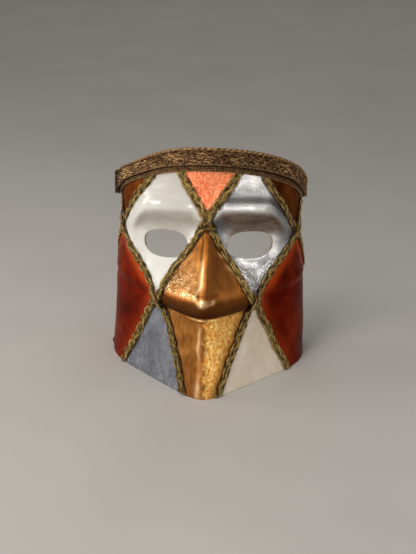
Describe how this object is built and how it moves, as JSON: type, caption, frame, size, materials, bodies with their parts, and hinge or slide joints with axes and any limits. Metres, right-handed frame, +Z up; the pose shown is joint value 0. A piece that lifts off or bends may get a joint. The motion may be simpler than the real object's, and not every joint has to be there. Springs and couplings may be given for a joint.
{
  "type": "bauta mask",
  "caption": "Papier-mache carnival mask with a jutting jaw, painted and leafed diamond panels, crossed gold braids and a gimp along its top edge; it stands on its flat lower edge.",
  "frame": {"origin": "on the surface the mask stands on, under the middle of its bounding box", "axes": "+Z up from the flat lower edge to the arched top, the face looks along -Y, +X to the right as seen from the front"},
  "size_m": [0.192, 0.1344, 0.2271],
  "materials": {
    "painted_paper": "satin",
    "old_gold_braid": "satin",
    "brown_gold_gimp": "satin"
  },
  "bodies": {
    "root": {"mask_shell": "painted_paper", "top_gimp": "brown_gold_gimp", "top_edge_braid": "brown_gold_gimp", "brow_to_left_jaw_braid": "old_gold_braid", "brow_to_right_jaw_braid": "old_gold_braid", "left_temple_to_chin_braid": "old_gold_braid", "right_temple_to_chin_braid": "old_gold_braid", "brow_to_left_rear_braid": "old_gold_braid", "brow_to_right_rear_braid": "old_gold_braid"}
  },
  "joints": []
}
